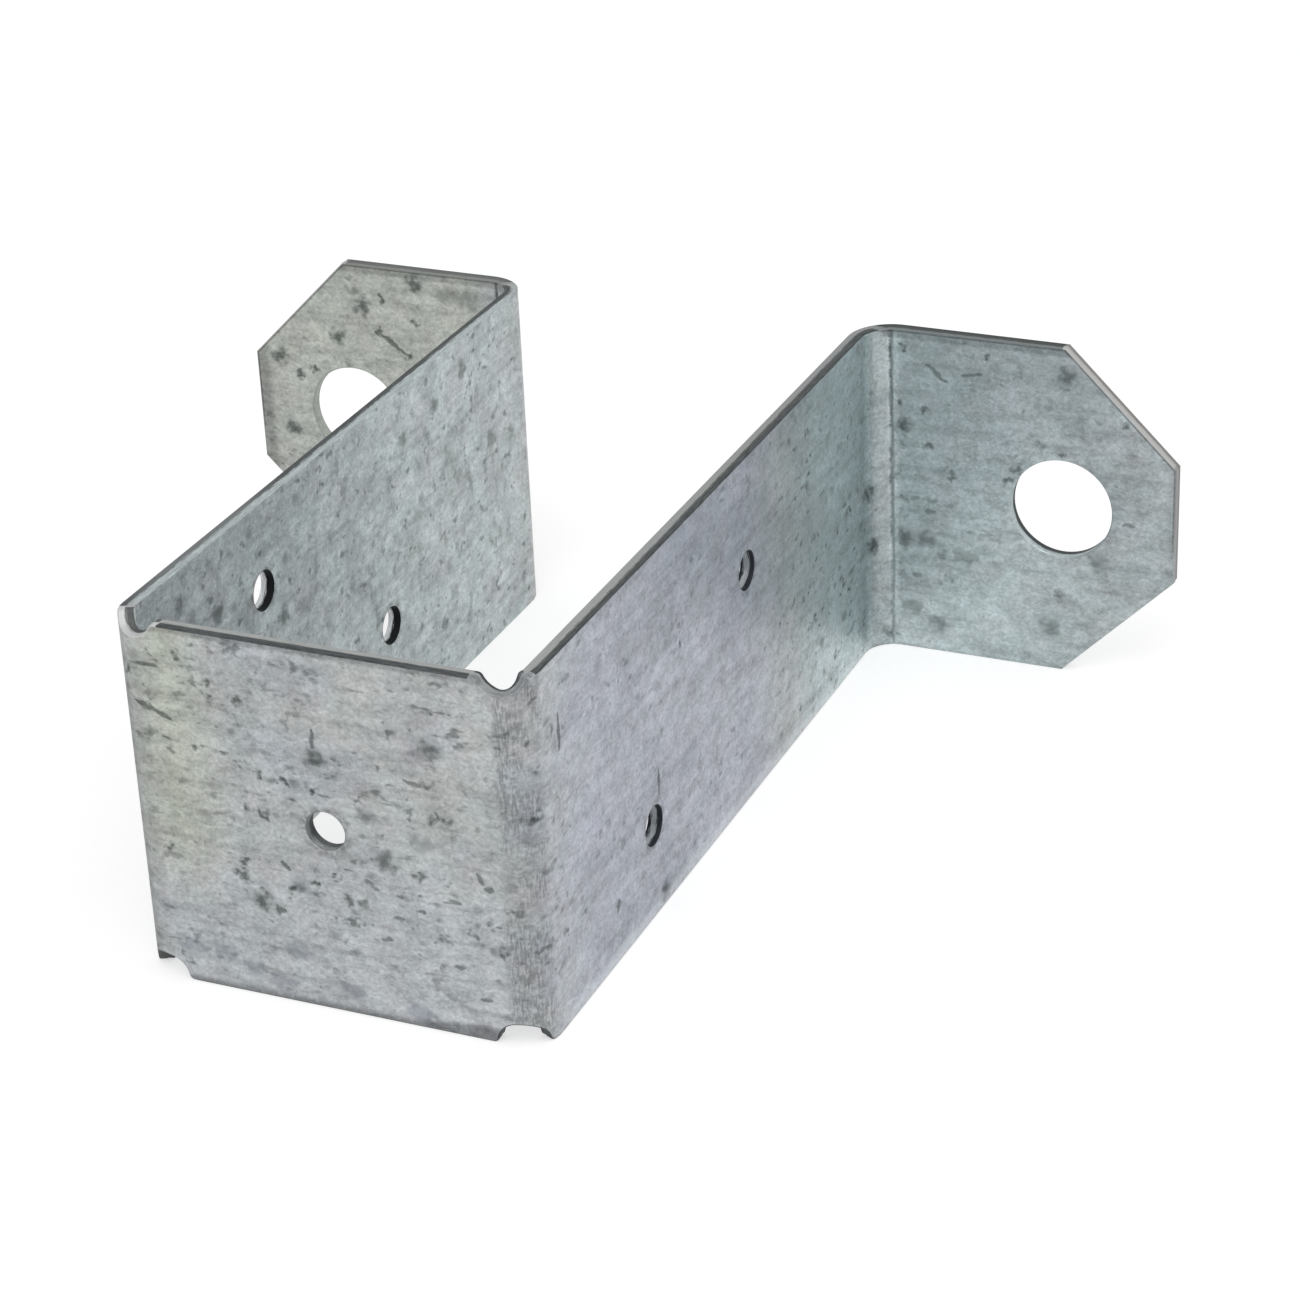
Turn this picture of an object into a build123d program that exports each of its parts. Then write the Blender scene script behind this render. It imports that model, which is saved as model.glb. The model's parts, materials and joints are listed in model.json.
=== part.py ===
from build123d import *
from math import cos, pi, sin
import os

# Deck post tie: one strap of galvanised steel sheet, punched flat and then folded round a post.
# The web crosses the front of the post, a leg lies along each side of it, and each leg ends in
# an ear, turned outwards, that is bolted to the rim of the deck.
# X runs along the web, Y from the web back to the ears, and Z up the height of the strap.
# The origin is at the bottom, in the middle of the width and of the depth. All sizes are in mm.

# Sheet
sheet = 1.52
strap_height = 38.1
web_bend = 1.9  # inside radius of the bend between the web and a leg
ear_bend = 3.2  # inside radius of the bend between a leg and an ear

# Post that the strap holds
post_width = 38.1
post_play = 1.6  # room between the post and the two legs together
post_depth = 88.9  # from the web's inner face to the plane that the ears rest on

# Ears
ear_reach = 34.2  # from the leg's outer face to the ear's tip
corner_cut = 12.4  # the 45 degree cut at each corner of the tip

# Punched pattern: its middle line lies a little above the middle of the strap
punch_rise = 0.4
bolt_hole = 11.3
bolt_from_tip = 12.7
nail_hole = 4.0
near_row = 24.7  # from the web's inner face to the first nail hole of a leg
row_pitch = 25.4  # from there to the second one
near_offset = 9.5  # from the pattern's middle line to the first nail hole, down on the right leg
far_offset = 6.4  # from the middle line to the second one, on the other side of it

# Relief notches at both ends of the bends between the web and the legs
notch_radius = 2.2
notch_depth = 1.9  # if the pattern were in the middle of the strap
notch_corner = 0.6  # rounding of the corners at the mouth of a notch
notch_along_bend = 0.7  # from the web's end of the bend to the notch's centre, along the sheet
notch_sections = 12

# Room by which a cutting tool passes the faces that it cuts
tool_room = 0.5

# Two lengths that differ by less are the same
tolerance = 0.05

leg_inner_x = (post_width + post_play) / 2
leg_outer_x = leg_inner_x + sheet
tip_x = leg_outer_x + ear_reach
depth = sheet + post_depth
web_outer_y = -depth / 2
web_inner_y = web_outer_y + sheet
ear_back_y = depth / 2
ear_front_y = ear_back_y - sheet
middle_line_z = strap_height / 2 + punch_rise


def folded_sheet():
    """The bent strap at its full height, before anything is cut from it."""
    leg_x = leg_inner_x + sheet / 2
    web_y = web_outer_y + sheet / 2
    ear_y = ear_back_y - sheet / 2
    middle = FilletPolyline(
        (-tip_x, ear_y),
        (-leg_x, ear_y),
        (-leg_x, web_y),
        (leg_x, web_y),
        (leg_x, ear_y),
        (tip_x, ear_y),
        radius=[ear_bend + sheet / 2, web_bend + sheet / 2, web_bend + sheet / 2, ear_bend + sheet / 2],
    )
    return extrude(trace(middle, sheet), strap_height)


def cut_ear_corners(strap):
    """Cut both corners of each ear's tip at 45 degrees."""
    across_sheet = strap.edges().filter_by(Axis.Y).group_by(Axis.X)
    return chamfer(across_sheet[0] + across_sheet[-1], corner_cut)


def bolt_holes():
    """One round hole through each ear."""
    ear_y = (ear_front_y + ear_back_y) / 2
    tool = Rot(90, 0, 0) * Cylinder(bolt_hole / 2, sheet + 2 * tool_room)
    return [Pos(side * (tip_x - bolt_from_tip), ear_y, middle_line_z) * tool for side in (-1, 1)]


def nail_holes():
    """Two staggered holes through each leg, and one through the middle of the web."""
    leg_x = (leg_inner_x + leg_outer_x) / 2
    near_y = web_inner_y + near_row
    far_y = near_y + row_pitch
    tool = Cylinder(nail_hole / 2, sheet + 2 * tool_room)
    through_web = Rot(90, 0, 0) * tool
    through_leg = Rot(0, 90, 0) * tool
    holes = [Pos(0, (web_outer_y + web_inner_y) / 2, middle_line_z) * through_web]
    for side in (-1, 1):
        holes.append(Pos(side * leg_x, near_y, middle_line_z - side * near_offset) * through_leg)
        holes.append(Pos(side * leg_x, far_y, middle_line_z + side * far_offset) * through_leg)
    return holes


def across_sheet_at(length):
    """Plane across the sheet at a length along its middle, from the web's end of the right bend."""
    middle_radius = web_bend + sheet / 2
    bend_length = middle_radius * pi / 2
    turned = min(max(length / middle_radius, 0), pi / 2)
    outward = Vector(sin(turned), -cos(turned))
    along = Vector(cos(turned), sin(turned))
    bend_centre = Vector(leg_inner_x - web_bend, web_inner_y + web_bend)
    straight = length - min(max(length, 0), bend_length)
    return Plane(bend_centre + outward * middle_radius + along * straight, x_dir=outward, z_dir=along)


def notch(cut_depth):
    """A round notch punched in the flat blank, as it lies after the bend, at the right bottom edge."""
    sections = []
    for step in range(notch_sections + 1):
        turn = pi * (1 - step / notch_sections)
        section = across_sheet_at(notch_along_bend + notch_radius * cos(turn))
        height = cut_depth + notch_radius * sin(turn)
        section.origin += Vector(0, 0, height / 2 - notch_radius)
        sections.append(section * Rectangle(sheet + 2 * tool_room, height))
    return loft(sections)


def relief_notches():
    """A notch at the bottom and at the top of both bends."""
    bottom = notch(notch_depth + punch_rise)
    top = notch(notch_depth - punch_rise).mirror(Plane.XY.offset(strap_height / 2))
    return [bottom, top, bottom.mirror(Plane.YZ), top.mirror(Plane.YZ)]


def round_notch_corners(strap):
    """Round the corners that the notches leave in the long edges of the strap."""
    near_web = strap.edges().filter_by_position(Axis.Y, web_outer_y, web_inner_y + web_bend)
    levels = near_web.group_by(Axis.Z)
    corners = [edge for edge in levels[0] + levels[-1] if abs(edge.length - sheet) < tolerance]
    return fillet(corners, notch_corner)


strap = cut_ear_corners(folded_sheet())
for tool in bolt_holes() + nail_holes() + relief_notches():
    strap = strap - tool
strap = round_notch_corners(strap)

os.makedirs("parts", exist_ok=True)
export_step(strap, "parts/strap.step")
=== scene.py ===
"""The looks of a deck post tie: one strap of galvanised sheet, folded round a post.

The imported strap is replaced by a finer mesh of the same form, made flat and then folded, so that
its cut edges have the rolled corner, the sheared wall and the thin burr of punched sheet. Lengths
are in metres, and X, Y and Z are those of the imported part. The material works in millimetres on
the flat strip: along it from the middle of the web, up it, and from its middle to the front face.
"""

import json
from math import asin, ceil, cos, pi, radians, sin, sqrt, tau
from typing import NamedTuple

import bpy
import numpy as np
from mathutils import Matrix, Vector
from mathutils.geometry import delaunay_2d_cdt
from mathutils.kdtree import KDTree


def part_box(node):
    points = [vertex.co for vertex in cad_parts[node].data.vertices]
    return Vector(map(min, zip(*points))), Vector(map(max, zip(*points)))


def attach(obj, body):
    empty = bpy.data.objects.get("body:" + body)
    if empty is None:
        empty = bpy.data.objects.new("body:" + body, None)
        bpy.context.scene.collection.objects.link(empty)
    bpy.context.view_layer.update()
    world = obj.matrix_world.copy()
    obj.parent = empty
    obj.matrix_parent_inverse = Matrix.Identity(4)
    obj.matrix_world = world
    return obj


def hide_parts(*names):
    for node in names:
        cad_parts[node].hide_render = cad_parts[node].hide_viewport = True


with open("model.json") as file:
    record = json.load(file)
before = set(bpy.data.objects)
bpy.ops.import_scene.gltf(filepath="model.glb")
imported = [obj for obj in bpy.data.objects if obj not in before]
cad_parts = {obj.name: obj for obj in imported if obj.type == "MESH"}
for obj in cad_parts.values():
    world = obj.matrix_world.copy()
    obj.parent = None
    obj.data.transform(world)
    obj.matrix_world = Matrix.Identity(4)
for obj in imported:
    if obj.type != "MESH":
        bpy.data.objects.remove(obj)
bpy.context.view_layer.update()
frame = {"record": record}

mm = 0.001

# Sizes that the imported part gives
low_corner, high_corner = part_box("strap")
mounts = {mount["name"]: mount for mount in frame["record"]["mounts"]}
strap_height = high_corner.z
tip_x = high_corner.x
web_outer_y = low_corner.y
ear_back_y = high_corner.y
web_inner_y = mounts["web_seat"]["pos_m"][1]
leg_inner_x = mounts["right_leg_seat"]["pos_m"][0]
middle_line_z = mounts["web_nail"]["pos_m"][2]
bolt_x = mounts["ear_bolts"]["dims"]["spacing_x_mm"] * mm / 2
bolt_radius = mounts["ear_bolts"]["dims"]["hole_r_mm"] * mm
nail_radius = mounts["web_nail"]["dims"]["r_mm"] * mm
sheet = web_inner_y - web_outer_y
punch_rise = middle_line_z - strap_height / 2

# Sizes that the part's source gives
web_bend = 1.9 * mm
ear_bend = 3.2 * mm
corner_cut = 12.4 * mm
near_row = 24.7 * mm
row_pitch = 25.4 * mm
near_offset = 9.5 * mm
far_offset = 6.4 * mm
notch_radius = 2.2 * mm
notch_depth = 1.9 * mm
notch_corner = 0.6 * mm
notch_along_bend = 0.7 * mm

# The flat strip, measured along the middle of the sheet from the middle of the web
web_bend_start = leg_inner_x - web_bend
web_bend_end = web_bend_start + (web_bend + sheet / 2) * pi / 2
ear_bend_start = web_bend_end + (ear_back_y - sheet - ear_bend) - (web_inner_y + web_bend)
ear_bend_end = ear_bend_start + (ear_bend + sheet / 2) * pi / 2
tip = ear_bend_end + tip_x - (leg_inner_x + sheet + ear_bend)
bolt_along = tip - (tip_x - bolt_x)
near_along = web_bend_end + near_row - web_bend
far_along = near_along + row_pitch
notch_along = web_bend_start + notch_along_bend

# Cut edges, from the front face, where the punch went in, to the back face
roll_width = 0.18 * mm
roll_drop = 0.15 * mm
roll_steps = 4
wall_point = 0.12 * sheet
tear_start = -0.08 * sheet
tear_end = -0.3 * sheet
tear_depth = 0.05 * mm
burr_width = 0.06 * mm

# The line that the press pushed into the front face, inside each bend between a leg and an ear
crease_along = 109.35 * mm
crease_reach = 0.45 * mm
crease_depth = 0.07 * mm
crease_sway = 0.06 * mm
short_sway = 1.3 * mm
long_sway = 4.1 * mm

# Spacing of the mesh's points
flat_step = 1.0 * mm
bend_step = 0.35 * mm
edge_step = 0.5 * mm
arc_step = 0.2 * mm
crease_step = 0.12 * mm
rim_room = 0.35 * mm
least_area = 1e-4 * mm * mm
same_place = 1e-9
whole_hull = 0  # Blender's number for triangles that reach out to the hull of the points


def arc(centre, radius, start, end):
    """Points on an arc in the flat, from one angle to another, without its last point."""
    steps = ceil(abs(end - start) * radius / arc_step)
    angles = [start + (end - start) * step / steps for step in range(steps)]
    return [(centre[0] + radius * cos(angle), centre[1] + radius * sin(angle)) for angle in angles]


def run(start, end, step=edge_step):
    """Points on a straight edge in the flat, without its last point."""
    steps = ceil(max(abs(end[0] - start[0]), abs(end[1] - start[1])) / step)
    shares = [step / steps for step in range(steps)]
    return [tuple(a + (b - a) * share for a, b in zip(start, end)) for share in shares]


def long_run(start, end):
    """Points on a stretch of the bottom edge, closer together where a crease crosses it."""
    low, high = crease_along - crease_reach - crease_sway, crease_along + crease_reach + crease_sway
    stops = [start] + [stop for stop in (-high, -low, low, high) if start < stop < end] + [end]
    points = []
    for first, last in zip(stops, stops[1:]):
        creased = low < abs(first + last) / 2 < high
        points += run((first, 0), (last, 0), crease_step if creased else edge_step)
    return points


def notched_edge(depth):
    """The bottom edge of the strip from the left ear to the right one, with two notches this deep."""
    centre_z = depth - notch_radius
    between = notch_radius + notch_corner
    reach = sqrt(between**2 - (notch_corner - centre_z) ** 2)
    lean = asin((notch_corner - centre_z) / between)
    points = []
    start = corner_cut - tip
    for along in (-notch_along, notch_along):
        points += long_run(start, along - reach)
        points += arc((along - reach, notch_corner), notch_corner, -pi / 2, -lean)
        points += arc((along, centre_z), notch_radius, pi - lean, lean)
        points += arc((along + reach, notch_corner), notch_corner, pi + lean, 3 * pi / 2)
        start = along + reach
    return points + long_run(start, tip - corner_cut)


def ear_end():
    """The cut corners and the end of the right ear, from the bottom edge to the top edge."""
    corners = [
        (tip - corner_cut, 0),
        (tip, corner_cut),
        (tip, strap_height - corner_cut),
        (tip - corner_cut, strap_height),
    ]
    return [point for start, end in zip(corners, corners[1:]) for point in run(start, end)]


def outline():
    """The edge of the flat strip, with the sheet on its left."""
    bottom = notched_edge(notch_depth + punch_rise) + ear_end()
    top = notched_edge(notch_depth - punch_rise) + ear_end()
    return bottom + [(-along, strap_height - height) for along, height in top]


def holes():
    """The edges of the bolt holes and nail holes, with the sheet on their left."""
    centres = [(0, middle_line_z, nail_radius)]
    for side in (-1, 1):
        centres.append((side * bolt_along, middle_line_z, bolt_radius))
        centres.append((side * near_along, middle_line_z - side * near_offset, nail_radius))
        centres.append((side * far_along, middle_line_z + side * far_offset, nail_radius))
    return [arc((along, height), radius, tau, 0) for along, height, radius in centres]


def inward(loop):
    """For each point of a loop, the step that moves it into the sheet by one unit."""
    after = np.roll(loop, -1, axis=0) - loop
    after /= np.linalg.norm(after, axis=1, keepdims=True)
    before = np.roll(after, 1, axis=0)
    tangent = before + after
    normal = np.stack([-tangent[:, 1], tangent[:, 0]], axis=1)
    return normal * 2 / np.sum(normal * normal, axis=1, keepdims=True)


def edge_profile():
    """The cut edge as (distance into the sheet, place across it), from the front to the back."""
    front = sheet / 2
    turns = [step / roll_steps * pi / 2 for step in range(roll_steps + 1)]
    roll = [(roll_width * (1 - sin(turn)), front - roll_drop * (1 - cos(turn))) for turn in turns]
    wall = [
        (0, wall_point),
        (0, 0),
        (tear_depth, tear_start),
        (tear_depth, tear_end),
        (tear_depth / 2, burr_width - front),
        (burr_width, -front),
    ]
    return roll + wall + [(roll_width, -front)]


def creased(along, height, across):
    """Places across the sheet, with the creases pushed into its front face."""
    sway = crease_sway * np.sin(height / short_sway) * np.sin(height / long_sway)
    away = np.clip((np.abs(along) - crease_along - sway) / crease_reach, -1, 1)
    from_middle = np.clip(across / (sheet / 2), 0, 1)
    return across - crease_depth * from_middle * (1 + np.cos(away * pi)) / 2


def grid():
    """Places for points on the faces of the strip: closer together along the bends."""
    reach = crease_reach + crease_sway
    stretches = [
        (0, web_bend_start, flat_step),
        (web_bend_start, web_bend_end, bend_step),
        (web_bend_end, ear_bend_start, flat_step),
        (ear_bend_start, crease_along - reach, bend_step),
        (crease_along - reach, crease_along + reach, crease_step),
        (crease_along + reach, ear_bend_end, bend_step),
        (ear_bend_end, tip, flat_step),
    ]
    columns = []
    for start, end, step in stretches:
        columns += list(np.linspace(start, end, ceil((end - start) / step), endpoint=False))
    columns = np.array([-column for column in columns[:0:-1]] + columns)
    rows = np.arange(flat_step / 2, strap_height, flat_step)
    return np.stack(np.meshgrid(columns, rows), axis=-1).reshape(-1, 2)


def tree_of(points):
    """A tree that finds the nearest of some points in the flat."""
    tree = KDTree(len(points))
    for index, point in enumerate(points):
        tree.insert((point[0], point[1], 0), index)
    tree.balance()
    return tree


def fill(rings):
    """Triangles that fill the strip inside its rim rings, and the grid points that they use."""
    rim = np.concatenate(rings)
    facing = np.concatenate([inward(ring) for ring in rings])
    tree = tree_of(rim)

    def room(point):
        """How far inside the rim a point lies, or a negative number outside it."""
        _, index, distance = tree.find((point[0], point[1], 0))
        return distance if np.dot(point - rim[index], facing[index]) > 0 else -distance

    inner = np.array([point for point in grid() if room(point) > rim_room])
    points = [Vector(point) for point in np.concatenate([rim, inner])]
    links = []
    start = 0
    for ring in rings:
        count = len(ring)
        links += [(start + index, start + (index + 1) % count) for index in range(count)]
        start += count
    flat, _, faces, sources, _, _ = delaunay_2d_cdt(points, links, [], whole_hull, same_place)
    triangles = []
    for face in faces:
        corners = [np.array(flat[index]) for index in face]
        centre = sum(corners) / 3
        edge_a, edge_b = corners[1] - corners[0], corners[2] - corners[0]
        area = abs(edge_a[0] * edge_b[1] - edge_a[1] * edge_b[0]) / 2
        if area > least_area and room(centre) > 0:
            triangles.append([sources[index][0] for index in face])
    return triangles, inner


def fold(along, height, across):
    """Places in space for points of the flat strip: along it, up it, and from its middle outwards."""
    distance = np.abs(along)
    web_radius = web_bend + sheet / 2
    ear_radius = ear_bend + sheet / 2
    web_turn = np.clip((distance - web_bend_start) / web_radius, 0, pi / 2)
    ear_turn = np.clip((distance - ear_bend_start) / ear_radius, 0, pi / 2)
    on_web = np.minimum(distance, web_bend_start)
    on_leg = np.clip(distance - web_bend_end, 0, ear_bend_start - web_bend_end)
    on_ear = np.maximum(distance - ear_bend_end, 0)
    web_y = web_outer_y + sheet / 2
    x = on_web + web_radius * np.sin(web_turn) + ear_radius * (1 - np.cos(ear_turn)) + on_ear
    y = web_y + web_radius * (1 - np.cos(web_turn)) + on_leg + ear_radius * np.sin(ear_turn)
    facing = web_turn - ear_turn
    x = x + across * np.sin(facing)
    y = y - across * np.cos(facing)
    return np.stack([np.copysign(x, along), y, height], axis=1)


def edge_faces(loops, levels):
    """Four-sided faces of all the cut edges, between one level of their profile and the next."""
    count = sum(len(loop) for loop in loops)
    faces = []
    start = 0
    for loop in loops:
        size = len(loop)
        for level in range(levels - 1):
            upper = level * count + start
            lower = upper + count
            for index in range(size):
                after = (index + 1) % size
                faces.append((upper + index, lower + index, lower + after, upper + after))
        start += size
    return faces


def strap_mesh():
    """The strap as one closed mesh, with its flat places kept for the material."""
    loops = [np.array(outline())] + [np.array(hole) for hole in holes()]
    steps = [inward(loop) for loop in loops]
    profile = edge_profile()
    count = sum(len(loop) for loop in loops)
    flat = []
    for inset, across in profile:
        ring = np.concatenate([loop + step * inset for loop, step in zip(loops, steps)])
        flat.append(np.column_stack([ring, np.full(count, across), np.full(count, inset)]))
    triangles, inner = fill([loop + step * roll_width for loop, step in zip(loops, steps)])
    rim_tree = tree_of(np.concatenate(loops))
    inset = np.array([rim_tree.find((point[0], point[1], 0))[2] for point in inner])
    for across in (sheet / 2, -sheet / 2):
        flat.append(np.column_stack([inner, np.full(len(inner), across), inset]))
    flat = np.concatenate(flat)

    faces = edge_faces(loops, len(profile))
    back_rim = (len(profile) - 1) * count
    front_inner = len(profile) * count
    back_inner = front_inner + len(inner)
    for triangle in triangles:
        faces.append([index if index < count else front_inner + index - count for index in triangle])
        back = [back_rim + index if index < count else back_inner + index - count for index in triangle]
        faces.append(back[::-1])

    mesh = bpy.data.meshes.new("folded_strap")
    along, height, across = flat[:, 0], flat[:, 1], flat[:, 2]
    mesh.from_pydata(fold(along, height, creased(along, height, across)), [], faces)
    place = mesh.attributes.new("flat_place", "FLOAT_VECTOR", "POINT")
    place.data.foreach_set("vector", (flat[:, :3] / mm).ravel())
    rim = mesh.attributes.new("rim_distance", "FLOAT", "POINT")
    rim.data.foreach_set("value", flat[:, 3] / mm)
    mesh.shade_smooth()
    return mesh


def srgb(red, green, blue):
    """A colour given as 0 to 255 on a screen, as Blender's linear values."""
    straight_to, slope, offset, power = 0.04045, 12.92, 0.055, 2.4
    values = []
    for share in (red / 255, green / 255, blue / 255):
        curved = ((share + offset) / (1 + offset)) ** power
        values.append(share / slope if share < straight_to else curved)
    return values + [1]


class Clouds(NamedTuple):
    """Cloudy noise: its clouds to a millimetre, a part of the noise, and the range that is used."""

    along: float
    up: float
    part: float
    low: float
    high: float
    detail: float = 2.0
    roughness: float = 0.5


class Spots(NamedTuple):
    """Round spots: their cells to a millimetre, the share of cells with a spot, and the radii."""

    along: float
    up: float
    kept: float
    least: float
    most: float


class Nodes:
    """The nodes of one tree, where most methods add one or a few and return an output."""

    through_sheet = 15  # clouds and cells to a millimetre through the sheet
    spot_middle = 0.2  # where a spot starts to fade, as a share of its radius
    spot_rim = 1.15  # and where it ends
    faintest = 0.4  # strength of the faintest spots
    mixed, mixed_first, mixed_second = 2, 6, 7  # Blender's numbers for a Mix node's colours

    def __init__(self, tree):
        self.tree = tree

    def feed(self, node, inputs):
        """Set a node's inputs by name or number, as values or as other nodes' outputs."""
        for name, value in inputs.items():
            if isinstance(value, bpy.types.NodeSocket):
                self.tree.links.new(value, node.inputs[name])
            else:
                node.inputs[name].default_value = value

    def new_node(self, kind, inputs, **settings):
        """Add a node with these inputs and settings, and return the node itself."""
        node = self.tree.nodes.new(kind)
        for name, value in settings.items():
            setattr(node, name, value)
        self.feed(node, inputs)
        return node

    def node(self, kind, inputs, output=0, **settings):
        """Add a node with these inputs and settings, and return one of its outputs."""
        return self.new_node(kind, inputs, **settings).outputs[output]

    def math(self, operation, *values):
        """One of Blender's operations on numbers."""
        return self.node("ShaderNodeMath", dict(enumerate(values)), operation=operation)

    def vector_math(self, operation, *values, output=0):
        """One of Blender's operations on places or colours."""
        return self.node("ShaderNodeVectorMath", dict(enumerate(values)), output, operation=operation)

    def add(self, first, second):
        return self.math("ADD", first, second)

    def less(self, first, second):
        return self.math("SUBTRACT", first, second)

    def rest(self, share):
        """What a share leaves of one."""
        return self.less(1.0, share)

    def in_turn(self, operation, first, *others):
        """The same operation with one value after another."""
        for other in others:
            first = self.math(operation, first, other)
        return first

    def times(self, *values):
        return self.in_turn("MULTIPLY", *values)

    def most(self, *values):
        return self.in_turn("MAXIMUM", *values)

    def least(self, *values):
        return self.in_turn("MINIMUM", *values)

    def between(self, value, low, high, start=0.0, end=1.0):
        """A smooth change from start to end, as the value goes from low to high."""
        inputs = {"Value": value, "From Min": low, "From Max": high, "To Min": start, "To Max": end}
        return self.node("ShaderNodeMapRange", inputs, interpolation_type="SMOOTHSTEP")

    def fade(self, value, low, high):
        """A smooth change from one to nothing, as the value goes from low to high."""
        return self.between(value, low, high, 1.0, 0.0)

    def blend(self, share, first, second):
        """The first value where the share is nothing, and the second where it is one."""
        return self.between(share, 0.0, 1.0, first, second)

    def band(self, value, low, high, soft):
        """One between two values and nothing outside them, with soft limits."""
        return self.times(
            self.between(value, low - soft, low + soft),
            self.fade(value, high - soft, high + soft),
        )

    def mix(self, share, first, second):
        """The first colour where the share is nothing, and the second where it is one."""
        inputs = {0: share, self.mixed_first: first, self.mixed_second: second}
        return self.node("ShaderNodeMix", inputs, self.mixed, data_type="RGBA")

    def scaled(self, place, factors, shift=(0, 0, 0)):
        """A place stretched or squeezed along its axes, and then moved."""
        return self.vector_math("MULTIPLY_ADD", place, factors, shift)

    def clouds(self, place, pattern, start=0.0, end=1.0):
        """Cloudy noise that goes from start to end over the range that the pattern uses."""
        factors = (pattern.along, pattern.up, self.through_sheet)
        inputs = {
            "Vector": self.scaled(place, factors, (pattern.part, pattern.part, pattern.part)),
            "Scale": 1.0,
            "Detail": pattern.detail,
            "Roughness": pattern.roughness,
        }
        return self.between(self.node("ShaderNodeTexNoise", inputs), pattern.low, pattern.high, start, end)

    def spots(self, place, pattern):
        """Round spots with random radii and strengths, one in each kept cell of a pattern of cells."""
        factors = (pattern.along, pattern.up, self.through_sheet)
        cells = self.new_node("ShaderNodeTexVoronoi", {"Vector": self.scaled(place, factors), "Scale": 1.0})
        draws = self.new_node("ShaderNodeSeparateColor", {0: cells.outputs["Color"]})
        for_keeping, for_radius, for_strength = draws.outputs
        radius = self.add(self.times(for_radius, pattern.most - pattern.least), pattern.least)
        from_middle = self.math("DIVIDE", cells.outputs["Distance"], radius)
        shape = self.fade(from_middle, self.spot_middle, self.spot_rim)
        chosen = self.math("LESS_THAN", for_keeping, pattern.kept)
        return self.times(shape, chosen, self.blend(for_strength, self.faintest, 1.0))

    def away(self, place, point):
        """How far a place is from a point."""
        return self.vector_math("DISTANCE", place, point, output="Value")

    def off_dots(self, place, points, radius):
        """How far a place is from the nearest dot, as 0 in its middle and 1 at its rim."""
        return self.times(self.least(*[self.away(place, point) for point in points]), 1 / radius)

    def off_strokes(self, place, strokes, width):
        """How far a place is from the nearest long oval round two points: 0 between them, 1 at its rim."""
        values = []
        for start, end in strokes:
            length = (Vector(end) - Vector(start)).length
            scale = 1 / (sqrt(length**2 + (2 * width) ** 2) - length)
            both = self.add(self.away(place, start), self.away(place, end))
            values.append(self.math("MULTIPLY_ADD", both, scale, -length * scale))
        return self.least(*values)

    def dimmed(self, colour, share):
        """A colour times one share for all of its parts."""
        return self.node("ShaderNodeVectorMath", {0: colour, "Scale": share}, operation="SCALE")

    def darkened(self, colour, *layers):
        """A colour with layers taken from it, each as (how much at most, where)."""
        kept = [self.rest(self.times(where, most)) for most, where in layers]
        return self.dimmed(colour, self.times(*kept))

    def tinted(self, colour, *layers):
        """A colour with tints laid over it, each as (how much at most, where, the tint)."""
        for most, where, tint in layers:
            colour = self.mix(self.times(where, most), colour, tint)
        return colour


# Places for the zinc's layers, in mm along the strip from the middle of the web, up it or across it.
# Three numbers are a stretch and the softness of its ends. Two are where a change starts and where
# it is complete.
strap_mm = strap_height / mm
tip_mm = tip / mm
crease_mm = crease_along / mm
web_bend_mm = web_bend_end / mm
front_side = (0.0, 0.1)
web_bends = (web_bend_start / mm, web_bend_mm - 0.6, 0.5)
# Painted shade at the far end of the left bend and in each ear's bend before its crease, and in the crease
shaded_left_bend_end = (0.8 - web_bend_mm, 2.6 - web_bend_mm, 0.5)
shaded_before_crease = (ear_bend_start / mm + 1.5, crease_mm - 0.4, 0.5)
crease_line = (crease_mm - 0.22, crease_mm + 0.22, 0.2)
crease_waver = 0.08
crease_stronger_up = (2.0, 36.0)
left_to_right = (-1.0, 1.0)
left_leg = (-104.0, -20.0, 3.0)
right_leg = (24.0, 76.0, 9.0)
yellow_on_web = (-19.0, -12.0, 4.0)
yellow_above = (8.0, 18.0)
yellow_on_left_ear = (-108.0, -114.0)
bluish_towards_ear = (72.0, 98.0)
pale_below = (24.0, 6.0)
web_fades = (16.0, 20.0)
# Painted light: paler round the bend at the right ear, in the right leg's shade, and less so inside the
# bend
painted_light_round_bend = (88.0, 128.0, 8.0)
less_painted_light_in_bend = (106.2, 109.0, 0.6)
fewer_specks_from = (104.5, 106.0)
dashes_end = (19.0, 21.0)
fainter_on_right_ear = (109.0, 113.0)
least_faint_above = (13.0, 23.0)
fainter_on_web = (2.0, 17.0, 3.0)
left_ear_end = (2.2 - tip_mm, 1.0 - tip_mm)
right_ear_end = (tip_mm - 1.3, tip_mm - 0.4)
between_web_and_ears = (18.0, 108.0, 1.0)
shade_widens = (100.0, 108.0)
shade_widths = (0.8, 1.15)
shade_softness = 0.4
# Painted shade along the bottom edges, where the strap stands on the floor
low_shade_rises = (6.0, 15.0)
low_shade_rise = 0.9
low_shade_below = (1.0, 0.2)
low_shade_ends = (17.5, 19.0)
ear_low_shade_below = (0.5, 0.2)
ear_low_shade_from = (110.0, 112.0)
# Painted light along the bottom of the right leg, a reflection of the bright floor
lit_leg_below = (1.8, 0.9)
lit_leg_stretch = (23.5, 103.0, 1.0)

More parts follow.
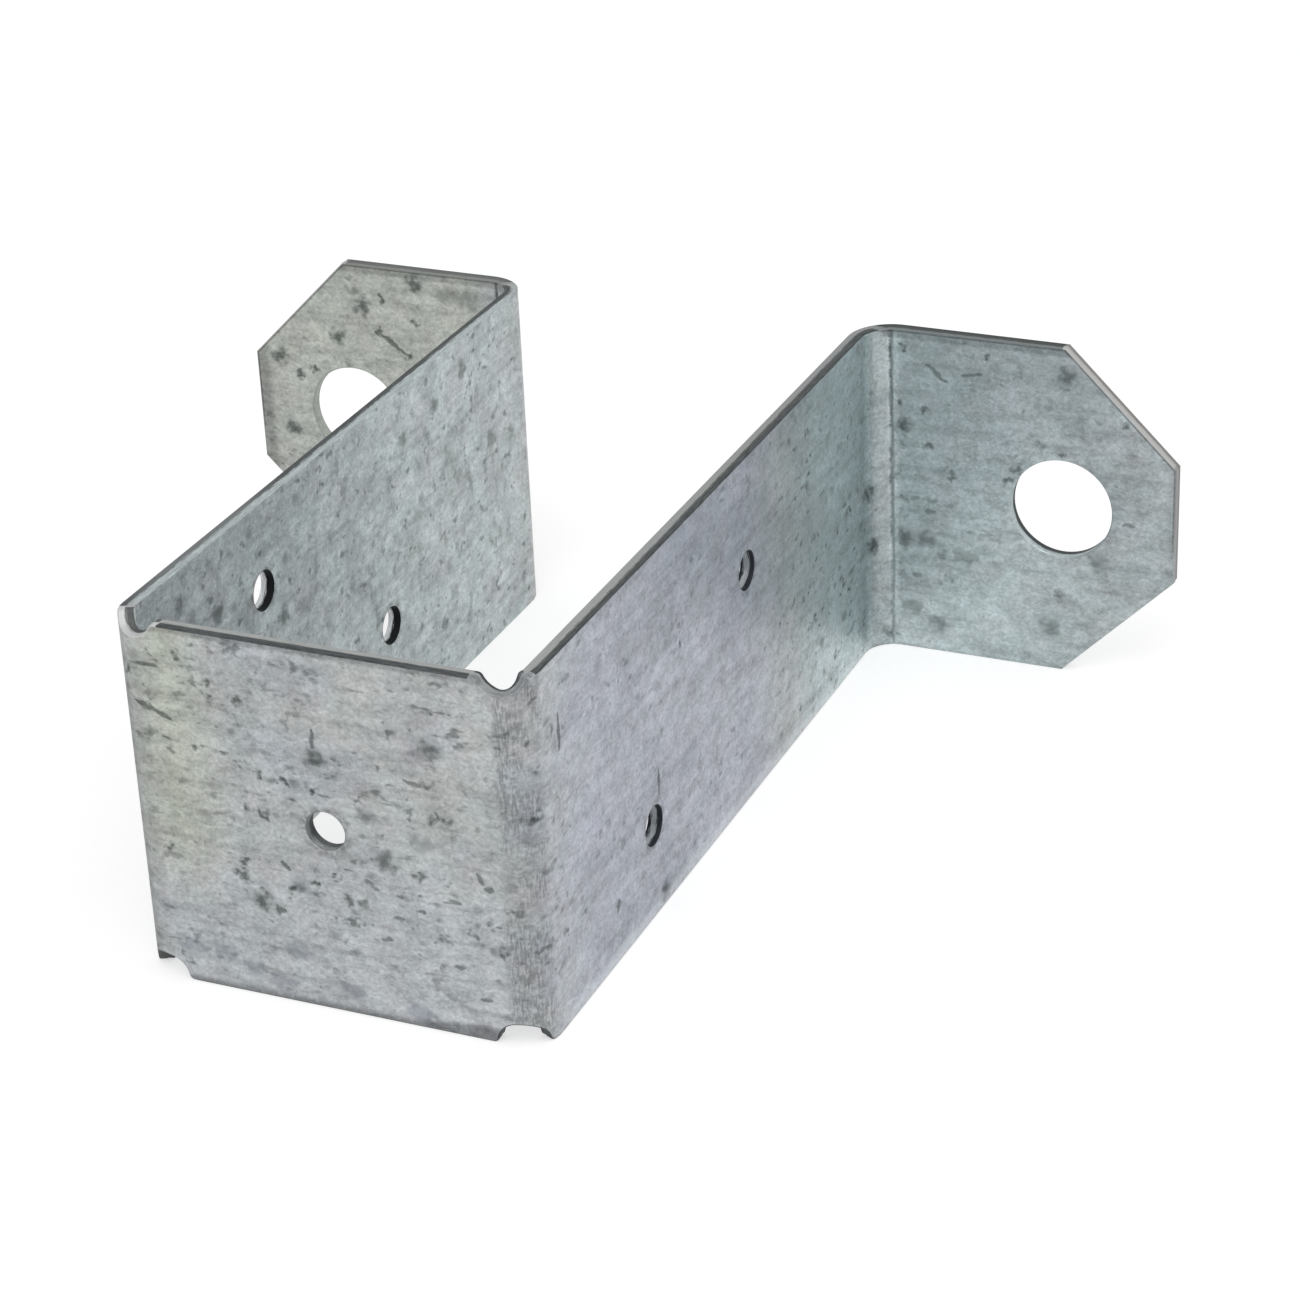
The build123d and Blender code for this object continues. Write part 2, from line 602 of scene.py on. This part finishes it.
# Places for the cut edges, given in the same way, and at the end as distances from a rim
right_leg_middle = (40.0, 90.0)
left_leg_near_web = (-48.0, -24.0, 6.0)
darker_to_right = (0.0, 100.0)
past_low_notch = (4.0, 8.0)
lower_half = (19.0, 14.0)
upper_half = (14.0, 19.0)
rolled_corner = (0.5, 0.65)
over_tip = (0.2, 0.4)
cut_rim = (0.09, 0.17)
rim_line = (0.12, 0.32, 0.06)
nail_ring_reach = (0.1, 1.2)
# Painted highlight on the burr round the notches
notch_burr_highlight = (0.14, 0.4, 0.05)

# Patterns of the zinc. Those that are finer up than along lie along the strip.
patches = Clouds(along=0.1, up=0.1, part=3, low=0.35, high=0.65)
cool_patches = Clouds(along=0.12, up=0.12, part=40, low=0.45, high=0.65)
warm_patches = Clouds(along=0.3, up=0.3, part=71, low=0.4, high=0.65)
soft_clouds = Clouds(along=0.22, up=0.22, part=11, low=0.35, high=0.65, detail=3)
mottling = Clouds(along=0.6, up=0.8, part=0, low=0.35, high=0.68, detail=4, roughness=0.65)
swelling = Clouds(along=0.6, up=0.8, part=0, low=0.35, high=0.68, detail=3, roughness=0.65)
fine_grain = Clouds(along=2.6, up=3.2, part=5, low=0.3, high=0.7, roughness=0.6)
thin_streaks = Clouds(along=0.09, up=1.1, part=13, low=0.45, high=0.72, detail=3)
broad_streaks = Clouds(along=0.06, up=0.35, part=97, low=0.42, high=0.66)
speck_patches = Clouds(along=0.07, up=0.09, part=23, low=0.35, high=0.6)
small_specks = Spots(along=0.55, up=0.7, kept=0.45, least=0.16, most=0.42)
large_specks = Spots(along=0.3, up=0.36, kept=0.4, least=0.14, most=0.34)
flakes = Clouds(along=0.75, up=0.85, part=31, low=0.6, high=0.74)
short_dashes = Clouds(along=0.4, up=1.1, part=47, low=0.61, high=0.74)
upright_flakes = Clouds(along=0.5, up=0.28, part=91, low=0.56, high=0.74)
crackle_lines = Clouds(along=6.5, up=1.1, part=7, low=0.4, high=0.6)
crackle_patches = Clouds(along=0.4, up=0.3, part=83, low=0.35, high=0.6)
uneven_cut = Clouds(along=0.8, up=0.8, part=61, low=0.3, high=0.7, detail=3, roughness=0.6)

# Marks that the photograph shows on the front face, as places in mm along the flat strip and up it
dots = [
    (-11, 33), (-11, 31.5), (-8, 31.5), (7.5, 31), (-8, 20.5), (-6.5, 20), (-9.5, 13.5), (-9, 13),
    (-17, 14.5), (2, 12.5), (3.5, 12.5), (9.5, 16.5), (11.5, 23), (12.5, 23), (20.5, 24), (17.5, 10),
    (36, 6), (53, 26), (111, 36), (120.5, 36), (110.5, 29.5), (113.5, 29), (114, 25), (116.5, 21.5),
    (115.5, 12), (116.5, 9), (124, 23.5), (123, 22), (129, 26), (129, 9), (136, 30), (-124.5, 34.5),
    (-120.5, 32), (-134, 24.5), (-136, 23.5), (-125.3, 30.2), (-121.5, 27.5),
]
blots = [
    (-0.5, 27), (11.5, 30), (6, 17.5), (-7.5, 10.5), (47, 1.5), (105.5, 19), (106.5, 12.5), (111, 27),
    (111, 13.5), (113.5, 13.5), (115, 3.5), (128, 5), (129.5, 35), (133, 13.5), (-127, 33),
    (-130.5, 29), (-138.5, 25.5), (-137.5, 16.5), (-120, 36.5),
]
dashes = [
    (14, 32), (13, 14.5), (-5.5, 10), (7, 11.5), (5.5, 9), (13, 7.5), (15.5, 4.5), (114, 17),
    (112.5, 9), (136.5, 18.5),
]
strokes = [
    ((-19, 30), (-15, 28.5)), ((-0.5, 30), (-0.5, 28)), ((8.5, 26.5), (10.5, 26)),
    ((-5, 15.5), (-4, 14.5)), ((15.5, 18), (16, 17)), ((16, 16.5), (17, 16.5)),
    ((25, 32.5), (25, 28.5)), ((46.5, 15.5), (46.5, 12.5)), ((113.5, 34.5), (116, 32.5)),
    ((117.5, 33.5), (120, 34)), ((-125.2, 30.2), (-121.5, 27.5)),
]
smudges = [
    (-15.5, 4), (-12, 4), (-9, 3), (-6, 2), (1.5, 2.5), (8.5, 1.5), (-3, 13), (10, 20), (-116, 35.5),
    (-113.5, 35.5), (112, 5), (118, 12), (-4, 6),
]

# Blots on the back face of the left leg
inner_blots = [
    (-90.5, 34.5), (-83.5, 33), (-96.5, 24), (-29.5, 34.5), (-36, 30.5), (-48.5, 24.5), (-76, 32.5),
]

# Sizes of the marks in mm. The ragged rims, and where a mark starts to fade and where it ends, are
# shares of its radius or width.
dot_radius = 0.7
blot_radius = 1.4
dot_fade = (0.15, 1.15)
dash_reach = 0.6
stroke_width = 0.28
stroke_fade = (0.0, 1.8)
smudge_reach = 1.2
smudge_width = 1.0
smudge_fade = (0.0, 1.3)
raggedness = (-0.12, 0.16)
stroke_raggedness = 3.0  # times that of a dot
smudge_raggedness = 2.5


class Strip:
    """What the layers of the zinc share: places in mm, and zones and patterns from 0 to 1."""

    swirls_to_mm = 1.1
    fine_stir = 0.8  # mm that swirls move a place, for fine patterns and strokes
    wide_stir = 2.6  # and for dots, blots and smudges

    def __init__(self, paint):
        self.spot = paint.node("ShaderNodeAttribute", {}, "Vector", attribute_name="flat_place")
        self.rim = paint.node("ShaderNodeAttribute", {}, "Fac", attribute_name="rim_distance")
        axes = paint.new_node("ShaderNodeSeparateXYZ", {0: self.spot})
        self.along, self.height, self.across = axes.outputs
        self.distance = paint.math("ABSOLUTE", self.along)
        self.front = paint.between(self.across, *front_side)
        self.back = paint.rest(self.front)

        inputs = {"Vector": self.spot, "Scale": self.swirls_to_mm, "Detail": 3.0}
        swirls = paint.node("ShaderNodeTexNoise", inputs, "Color")
        both_ways = paint.vector_math("SUBTRACT", swirls, (0.5, 0.5, 0.5))
        self.shaken = paint.scaled(both_ways, (self.fine_stir, self.fine_stir, 0), self.spot)
        self.stirred = paint.scaled(both_ways, (self.wide_stir, self.wide_stir, 0), self.spot)

        low_down = paint.between(self.height, *pale_below)
        self.low_on_web = paint.times(low_down, paint.fade(self.distance, *web_fades))
        self.on_right_leg = paint.band(self.along, *right_leg)
        self.in_left_leg = paint.times(paint.band(self.along, *left_leg), self.back)
        self.on_web_bend = paint.times(paint.band(self.distance, *web_bends), self.front)
        self.mottle = paint.clouds(self.shaken, mottling)
        self.grain = paint.clouds(self.shaken, fine_grain)


def tinted_zinc(paint, strip):
    """The zinc's colour, with soft tints and painted light.

    It is yellowish high on the web's left side and on the left ear, violet on the right leg, bluish
    towards the right ear, and paler low on the web. Painted light makes it paler round the bend at the
    right ear, which lies in the right leg's shade, and on the inside of the left leg, which lies in
    shade between the legs.
    """
    yellow_web = paint.times(
        paint.band(strip.along, *yellow_on_web),
        paint.between(strip.height, *yellow_above),
    )
    yellow = paint.most(yellow_web, paint.between(strip.along, *yellow_on_left_ear, 0.0, 0.65))
    bluish = paint.between(strip.along, *bluish_towards_ear)
    off_bend = paint.blend(paint.band(strip.along, *less_painted_light_in_bend), 1.0, 0.2)
    pale = paint.times(paint.band(strip.along, *painted_light_round_bend), off_bend)
    colour = paint.mix(paint.clouds(strip.spot, patches), srgb(194, 199, 200), srgb(198, 203, 202))
    colour = paint.mix(paint.clouds(strip.spot, cool_patches), colour, srgb(194, 200, 204))
    colour = paint.tinted(
        colour,
        (0.8, strip.low_on_web, srgb(203, 209, 212)),
        (0.9, yellow, srgb(200, 206, 194)),
        (0.6, strip.on_right_leg, srgb(190, 195, 212)),
        (0.85, bluish, srgb(192, 203, 205)),
        # painted light round the bend at the right ear, which lies in the right leg's shade
        (0.9, pale, srgb(210, 225, 227)),
        # painted light on the inside of the left leg, which lies in shade between the legs
        (0.9, strip.in_left_leg, srgb(207, 218, 219)),
    )
    warmth = (1.02, 0.985, 0.99)
    warmer = paint.vector_math("MULTIPLY", colour, warmth)
    return paint.mix(paint.clouds(strip.spot, warm_patches), colour, warmer)


def texture_layers(paint, strip):
    """Dark layers of clouds, mottling, grain and streaks."""
    cloud = paint.clouds(strip.spot, soft_clouds)
    streaks = paint.clouds(strip.shaken, thin_streaks)
    return [
        (0.1, cloud),
        (0.1, paint.times(strip.in_left_leg, cloud)),
        (0.19, strip.mottle),
        (0.25, strip.grain),
        (0.17, paint.times(streaks, paint.blend(strip.on_web_bend, 1.0, 0.3))),
        (0.12, paint.times(paint.clouds(strip.shaken, broad_streaks), strip.on_right_leg)),
    ]


def all_specks(paint, strip):
    """Dark specks of five kinds, stronger in some patches, and fewer or fainter on the legs and ears."""
    patchy = paint.clouds(strip.spot, speck_patches, 0.4, 1.0)
    strength = paint.times(
        paint.blend(strip.in_left_leg, patchy, 0.75),
        paint.blend(strip.on_right_leg, 1.0, 0.5),
        paint.between(strip.distance, *fewer_specks_from, 1.0, 0.5),
    )
    small = paint.times(paint.spots(strip.shaken, small_specks), paint.blend(strip.in_left_leg, 1.0, 0.45))
    large = paint.spots(strip.shaken, large_specks)
    flaky = paint.clouds(strip.spot, flakes)
    on_web = paint.fade(strip.distance, *dashes_end)
    dashed = paint.times(paint.clouds(strip.spot, short_dashes), on_web, 0.8)
    upright = paint.times(paint.clouds(strip.shaken, upright_flakes), strip.in_left_leg, 0.6)
    return paint.times(paint.most(small, large, flaky, dashed, upright), strength)


def photographed_marks(paint, strip):
    """Dark marks and soft smudges where the photograph shows them, with ragged rims."""
    face = sheet / mm / 2
    ragged = paint.blend(strip.grain, *raggedness)

    def points(middles, across=face):
        """Places on a face of the sheet."""
        return [(*middle, across) for middle in middles]

    def level(middles, reach):
        """Strokes along the strip round their middles."""
        return [((along - reach, height, face), (along + reach, height, face)) for along, height in middles]

    small = paint.off_dots(strip.stirred, points(dots), dot_radius)
    large = paint.off_dots(strip.stirred, points(blots) + points(inner_blots, -face), blot_radius)
    round_ones = paint.add(paint.least(small, large), ragged)
    lines = level(dashes, dash_reach) + [points(ends) for ends in strokes]
    drawn = paint.off_strokes(strip.shaken, lines, stroke_width)
    drawn = paint.add(drawn, paint.times(ragged, stroke_raggedness))
    wide = paint.off_strokes(strip.stirred, level(smudges, smudge_reach), smudge_width)
    wide = paint.add(wide, paint.times(ragged, smudge_raggedness))
    marks = paint.most(
        paint.between(round_ones, *dot_fade, 0.9, 0.0),
        paint.between(drawn, *stroke_fade, 0.8, 0.0),
    )
    return marks, paint.fade(wide, *smudge_fade)


def bend_layers(paint, strip):
    """Dark layers on the bends.

    Those at the web have a darker tone, fine lines, and painted shade where the left leg starts.
    Those at the ears have painted shade before the crease, and the crease, a pressed groove with
    painted shade in it.
    """
    crackled = paint.times(
        paint.clouds(strip.spot, crackle_patches, 0.15, 1.0),
        paint.between(strip.along, *left_to_right, 0.3, 1.0),
    )
    lines = paint.times(strip.on_web_bend, paint.clouds(strip.spot, crackle_lines), crackled)
    wavering = paint.add(strip.distance, paint.blend(strip.mottle, -crease_waver, crease_waver))
    # The crease, a groove the press left, darkened with painted shade
    crease = paint.times(
        paint.band(wavering, *crease_line),
        strip.front,
        paint.between(strip.height, *crease_stronger_up, 0.7, 1.3),
    )
    return [
        (0.12, strip.on_web_bend),
        (0.34, lines),
        # painted shade at the far end of the left bend
        (0.36, paint.times(strip.on_web_bend, paint.band(strip.along, *shaded_left_bend_end))),
        # painted shade in each ear's bend before the crease, toning down its highlight
        (0.1, paint.band(strip.along, *shaded_before_crease)),
        # painted shade in the crease's groove
        (0.6, paint.times(crease, paint.blend(strip.mottle, 0.7, 1.0))),
    ]


def edge_layers(paint, strip):
    """Dark layers on the front face along its edges, apart from the legs.

    They lie along the ends of the ears, as painted shade along the bottom edges, most at the right end
    of the web's, and as painted shade along the top edges.
    """
    along, height, distance, front = strip.along, strip.height, strip.distance, strip.front
    # Painted shade along the bottom edges: rising towards the right end of the web's, and faint under the
    # ears
    rising = paint.add(height, paint.between(along, *low_shade_rises, 0.0, -low_shade_rise))
    web_low_shade = paint.times(paint.between(rising, *low_shade_below), paint.fade(distance, *low_shade_ends), front)
    under_ears = paint.times(
        paint.between(height, *ear_low_shade_below),
        paint.between(distance, *ear_low_shade_from),
        front,
    )
    shade_width = paint.between(distance, *shade_widens, *shade_widths)
    past_shade = paint.less(paint.less(strap_mm, height), shade_width)
    off_legs = paint.blend(paint.band(distance, *between_web_and_ears), 1.0, 0.0)
    return [
        (0.36, paint.times(paint.between(along, *left_ear_end), front)),
        (0.14, paint.times(paint.between(along, *right_ear_end), front)),
        # painted shade along the bottom edges
        (0.5, paint.most(web_low_shade, paint.times(under_ears, 0.3))),
        (0.32, paint.times(paint.fade(past_shade, -shade_softness, 0.0), off_legs, front)),
    ]


def spoiled_share(paint, strip, specks, marks):
    """How far specks and marks cover the zinc.

    They are fainter on the right ear, on the right side of the web and inside the left leg.
    """
    on_right_ear = paint.between(strip.height, *least_faint_above, 0.58, 0.86)
    return paint.times(
        paint.most(paint.times(specks, 0.86), paint.times(marks, 0.9)),
        paint.between(strip.along, *fainter_on_right_ear, 1.0, on_right_ear),
        paint.blend(paint.band(strip.along, *fainter_on_web), 1.0, 0.87),
        paint.blend(strip.in_left_leg, 1.0, 0.8),
    )


class CutEdges:
    """Zones from 0 to 1 that tell the cut edges apart, with the distance to an ear's tip in mm.

    An ear has two long edges, which go on from those of its leg, and an end: its tip and cut corners.
    """

    leg_start = (20.0, 24.0)
    bend_softness = 3.0
    round_bolt = 0.8
    bolt_softness = 0.2
    notch_softness = 0.2
    off_long_edges = 3.0
    nail_softness = 0.3
    past_corner_cut = (0.35, 0.5)
    past_tip = (0.3, 0.4)

    def __init__(self, paint, strip):
        along, height, distance = strip.along, strip.height, strip.distance
        self.uneven = paint.clouds(strip.spot, uneven_cut)
        self.on_ear = paint.between(distance, crease_mm - self.bend_softness, crease_mm)
        self.left = paint.fade(along, -self.leg_start[1], -self.leg_start[0])
        self.right = paint.between(along, *self.leg_start)
        self.left_half = paint.fade(along, *left_to_right)

        folded_over = paint.node("ShaderNodeCombineXYZ", {0: distance, 1: height})
        off_bolt = paint.away(folded_over, (bolt_along / mm, middle_line_z / mm, 0.0))
        bolt_reach = bolt_radius / mm + self.round_bolt
        self.in_bolt = paint.fade(off_bolt, bolt_reach - self.bolt_softness, bolt_reach)
        notch_mm, notch_reach = notch_along / mm, (notch_radius + notch_corner) / mm
        notch_ends = (notch_mm - notch_reach, notch_mm + notch_reach)
        self.in_notch = paint.band(distance, *notch_ends, self.notch_softness)
        self.in_nail = paint.times(
            paint.band(height, self.off_long_edges, strap_mm - self.off_long_edges, self.nail_softness),
            paint.fade(distance, crease_mm - self.bend_softness, crease_mm),
        )
        self.in_right_nail = paint.times(self.in_nail, self.right)

        off_middle = paint.math("ABSOLUTE", paint.less(height, strap_mm / 2))
        to_long_edge = paint.less(strap_mm / 2, off_middle)
        self.to_tip = paint.less(tip_mm, distance)
        off_corner = paint.add(to_long_edge, self.to_tip)
        cut_start, cut_end = (corner_cut / mm + past for past in self.past_corner_cut)
        self.on_long_edge = paint.times(
            paint.between(off_corner, cut_start, cut_end),
            paint.between(self.to_tip, *self.past_tip),
        )


def dark_part(paint, strip, cuts):
    """Where a cut edge is dark: in front of one place across the sheet, and behind another.

    These places are in mm from the middle of the sheet, and larger towards the front face. With one
    that lies beyond a face, that side of the edge isn't dark, or all of it is.
    """
    beyond = 2.0
    unevenness = 0.12
    softness = 0.1

    right_leg_from = paint.between(strip.along, *right_leg_middle, 0.15, -0.05)
    dark_from = paint.blend(cuts.left, paint.blend(cuts.right, -0.05, right_leg_from), 0.0)
    dark_from = paint.blend(cuts.on_ear, dark_from, beyond)
    holed = paint.most(cuts.in_nail, cuts.in_bolt, cuts.in_notch)
    dark_from = paint.blend(holed, dark_from, paint.blend(cuts.in_right_nail, beyond, 0.2))

    end_to = paint.between(cuts.to_tip, *over_tip, 0.05, -0.1)
    top_notch_to = paint.between(strip.along, *left_to_right, 0.0, -0.4)
    bolt_to = paint.between(strip.along, *left_to_right, -beyond, 0.1)
    dark_to = paint.blend(cuts.on_ear, -beyond, paint.blend(cuts.on_long_edge, end_to, 0.35))
    notch_to = paint.between(strip.height, *past_low_notch, beyond, top_notch_to)
    dark_to = paint.blend(cuts.in_notch, dark_to, notch_to)
    dark_to = paint.blend(cuts.in_nail, dark_to, 0.1)
    dark_to = paint.blend(cuts.in_bolt, dark_to, bolt_to)
    dark_to = paint.blend(cuts.in_right_nail, dark_to, -0.4)

    across = paint.add(strip.across, paint.blend(cuts.uneven, -unevenness, unevenness))
    at_front = paint.between(paint.less(across, dark_from), -softness, softness)
    at_back = paint.fade(paint.less(across, dark_to), -softness, softness)
    return paint.most(at_front, at_back)


def dark_cut(paint, strip, cuts):
    """The dark colour of the cut edges."""
    colour = paint.mix(cuts.uneven, srgb(56, 60, 61), srgb(94, 98, 99))
    colour = paint.mix(paint.band(strip.along, *left_leg_near_web), colour, srgb(114, 118, 119))
    long_edge = paint.mix(cuts.left, srgb(68, 73, 73), srgb(101, 104, 103))
    ear = paint.mix(cuts.on_long_edge, srgb(138, 135, 133), long_edge)
    colour = paint.mix(cuts.on_ear, colour, ear)
    colour = paint.mix(paint.times(cuts.in_notch, cuts.left_half), colour, srgb(96, 98, 98))
    leg_nail = paint.mix(cuts.right, srgb(34, 37, 38), srgb(54, 58, 64))
    nail = paint.mix(paint.most(cuts.left, cuts.right), srgb(116, 120, 120), leg_nail)
    return paint.mix(cuts.in_nail, colour, nail)


def pale_cut(paint, strip, cuts, zinc):
    """The pale colour of the cut edges, which is the zinc's on the left leg and in some of the holes."""
    colour = paint.mix(cuts.uneven, srgb(156, 158, 157), srgb(174, 176, 174))
    colour = paint.mix(paint.between(strip.along, *darker_to_right), colour, srgb(148, 150, 150))
    colour = paint.mix(cuts.left, colour, zinc)
    end = paint.mix(paint.between(cuts.to_tip, *over_tip), srgb(154, 154, 153), srgb(178, 178, 177))
    long_edge = paint.mix(cuts.left, srgb(122, 127, 127), srgb(134, 137, 133))
    colour = paint.mix(cuts.on_ear, colour, paint.mix(cuts.on_long_edge, end, long_edge))
    colour = paint.mix(cuts.in_bolt, colour, zinc)
    # painted light on the walls of the left leg's nail holes, lighter than the zinc
    colour = paint.mix(cuts.in_nail, colour, paint.mix(cuts.left, zinc, srgb(226, 229, 231)))
    # painted light on the walls of the right leg's nail holes, which lie in shadow
    colour = paint.mix(cuts.in_right_nail, colour, srgb(198, 204, 208))
    notch = paint.mix(cuts.left_half, paint.dimmed(zinc, 0.88), srgb(196, 198, 198))
    return paint.mix(cuts.in_notch, colour, notch)


def with_cut_edges(paint, strip, zinc):
    """The zinc's colour with that of the cut edges, and where these are.

    A dark line follows the upper rims of the ears on the front face, the zinc is darker round the nail
    holes, and a painted highlight lies on the burr round the notches on the back face.
    """
    cuts = CutEdges(paint, strip)
    dark = dark_part(paint, strip, cuts)
    dark_colour = dark_cut(paint, strip, cuts)
    pale_colour = pale_cut(paint, strip, cuts, zinc)
    zinc_corner = paint.times(
        cuts.on_ear,
        paint.between(strip.height, *lower_half),
        paint.between(strip.across, *rolled_corner),
    )
    cut = paint.times(paint.fade(strip.rim, *cut_rim), paint.rest(zinc_corner))
    colour = paint.mix(cut, zinc, paint.mix(dark, pale_colour, dark_colour))

    line = paint.times(
        paint.band(strip.rim, *rim_line),
        strip.front,
        cuts.on_ear,
        paint.rest(cuts.in_bolt),
        paint.between(strip.height, *upper_half),
    )
    # Darker round the nail holes, unevenly
    nail_ring = paint.times(paint.fade(strip.rim, *nail_ring_reach), cuts.in_nail, strip.mottle)
    # a painted highlight on the burr round the notches, on the back face
    burr = paint.times(paint.band(strip.rim, *notch_burr_highlight), strip.back, cuts.in_notch)
    colour = paint.darkened(colour, (0.48, line), (0.4, nail_ring))
    return paint.tinted(colour, (0.8, burr, srgb(214, 216, 216))), cut


def galvanised_steel():
    """Matt zinc with soft tints, painted light and shade, specks, streaks along the strip, lines on the
    bends and bare cut edges.
    """
    material = bpy.data.materials.new("galvanised_steel")
    material.use_nodes = True
    paint = Nodes(material.node_tree)
    strip = Strip(paint)
    colour = tinted_zinc(paint, strip)
    layers = texture_layers(paint, strip)
    specks = all_specks(paint, strip)
    marks, smudged = photographed_marks(paint, strip)
    layers += bend_layers(paint, strip) + edge_layers(paint, strip)
    # Painted light along the bottom of the right leg, a reflection of the bright floor
    lit_low_on_right_leg = paint.times(
        paint.between(strip.height, *lit_leg_below),
        paint.band(strip.along, *lit_leg_stretch),
        strip.front,
    )

    smudge = paint.mix(strip.low_on_web, srgb(132, 142, 137), srgb(142, 149, 160))
    colour = paint.tinted(colour, (0.55, smudged, smudge))
    spoiled = spoiled_share(paint, strip, specks, marks)
    colour = paint.mix(spoiled, colour, srgb(72, 82, 78))
    colour = paint.darkened(colour, *layers)
    # lays the painted light low on the right leg
    colour = paint.tinted(colour, (0.3, lit_low_on_right_leg, srgb(224, 229, 232)))
    colour, cut = with_cut_edges(paint, strip, colour)

    smoothest, mottle_adds, spoiled_adds, cut_roughness = 0.38, 0.06, 0.15, 0.6
    roughness = paint.add(paint.times(strip.mottle, mottle_adds), smoothest)
    roughness = paint.add(paint.times(spoiled, spoiled_adds), roughness)
    relief = {"Height": paint.clouds(strip.spot, swelling), "Strength": 0.35, "Distance": 0.06 * mm}
    surface = {
        "Base Color": colour,
        "Metallic": 0.9,
        "Roughness": paint.most(roughness, paint.times(cut, cut_roughness)),
        "Normal": paint.node("ShaderNodeBump", relief),
    }
    paint.feed(material.node_tree.nodes["Principled BSDF"], surface)
    return material


def make_strap():
    """The strap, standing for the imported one."""
    strap = bpy.data.objects.new("folded_strap", strap_mesh())
    bpy.context.collection.objects.link(strap)
    strap.data.materials.append(galvanised_steel())
    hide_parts("strap")
    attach(strap, "root")


def seen_share(nodes, hidden, seen):
    """One value where a thing is seen, also in a reflection or through something, and another elsewhere."""
    path = nodes.new_node("ShaderNodeLightPath", {})
    kinds = ("Is Camera Ray", "Is Glossy Ray", "Is Transmission Ray")
    total = nodes.most(*[path.outputs[kind] for kind in kinds])
    return nodes.node("ShaderNodeMapRange", {"Value": total, "To Min": hidden, "To Max": seen})


def make_floor():
    """A wide pale floor that keeps the strap's shadow and is otherwise as white as the background."""
    reach = 6.0
    shade = 0.6
    lift = 0.55
    mesh = bpy.data.meshes.new("floor")
    corners = [(-reach, -reach, 0), (reach, -reach, 0), (reach, reach, 0), (-reach, reach, 0)]
    mesh.from_pydata(corners, [], [(0, 1, 2, 3)])
    floor = bpy.data.objects.new("floor", mesh)
    bpy.context.collection.objects.link(floor)
    material = bpy.data.materials.new("floor")
    material.use_nodes = True
    material.node_tree.nodes.clear()
    nodes = Nodes(material.node_tree)
    glow = nodes.node("ShaderNodeEmission", {"Strength": seen_share(nodes, hidden=0.0, seen=lift)})
    matt = nodes.node("ShaderNodeBsdfDiffuse", {"Color": (shade, shade, shade, 1)})
    both = nodes.node("ShaderNodeAddShader", {0: glow, 1: matt})
    nodes.new_node("ShaderNodeOutputMaterial", {"Surface": both})
    mesh.materials.append(material)


def make_world():
    """White where it is seen, and a softer light on the object."""
    light = 0.6
    world = bpy.data.worlds.new("studio")
    bpy.context.scene.world = world
    world.use_nodes = True
    nodes = Nodes(world.node_tree)
    white = {"Color": (1, 1, 1, 1), "Strength": seen_share(nodes, hidden=light, seen=1.0)}
    nodes.feed(world.node_tree.nodes["Background"], white)


def make_lamp(name, place, size, power):
    """A square soft box that faces the strap."""
    data = bpy.data.lights.new(name, "AREA")
    data.size = size
    data.energy = power
    lamp = bpy.data.objects.new(name, data)
    to_strap = Vector((0, 0, strap_height / 2)) - Vector(place)
    lamp.location = place
    lamp.rotation_mode = "QUATERNION"
    lamp.rotation_quaternion = to_strap.to_track_quat("-Z", "Y")
    bpy.context.collection.objects.link(lamp)


def make_camera():
    """The photograph's view: the strap seen from the front, the right and above."""
    azimuth, elevation, roll = radians(24.32), radians(26.87), radians(2.54)
    distance = 333.1 * mm
    aim = Vector((21.8, -19.1, 29.2)) * mm
    film_width, focal_length = 36, 97.56
    back = Vector((sin(azimuth) * cos(elevation), -cos(azimuth) * cos(elevation), sin(elevation)))
    level = Vector((0, 0, 1)).cross(back).normalized()
    right = Matrix.Rotation(roll, 3, -back) @ level
    up = back.cross(right)
    data = bpy.data.cameras.new("camera")
    data.sensor_width = film_width
    data.lens = focal_length
    camera = bpy.data.objects.new("camera", data)
    turned = Matrix((right, up, back)).transposed().to_4x4()
    camera.matrix_world = Matrix.Translation(aim + back * distance) @ turned
    bpy.context.collection.objects.link(camera)
    bpy.context.scene.camera = camera


make_strap()
make_floor()
make_world()
make_lamp("key", place=(0.15, -0.5, 0.8), size=0.6, power=2.6)
make_lamp("fill", place=(0.6, 0.1, 0.5), size=0.5, power=0.8)
make_camera()
bpy.context.scene.view_settings.view_transform = "Standard"
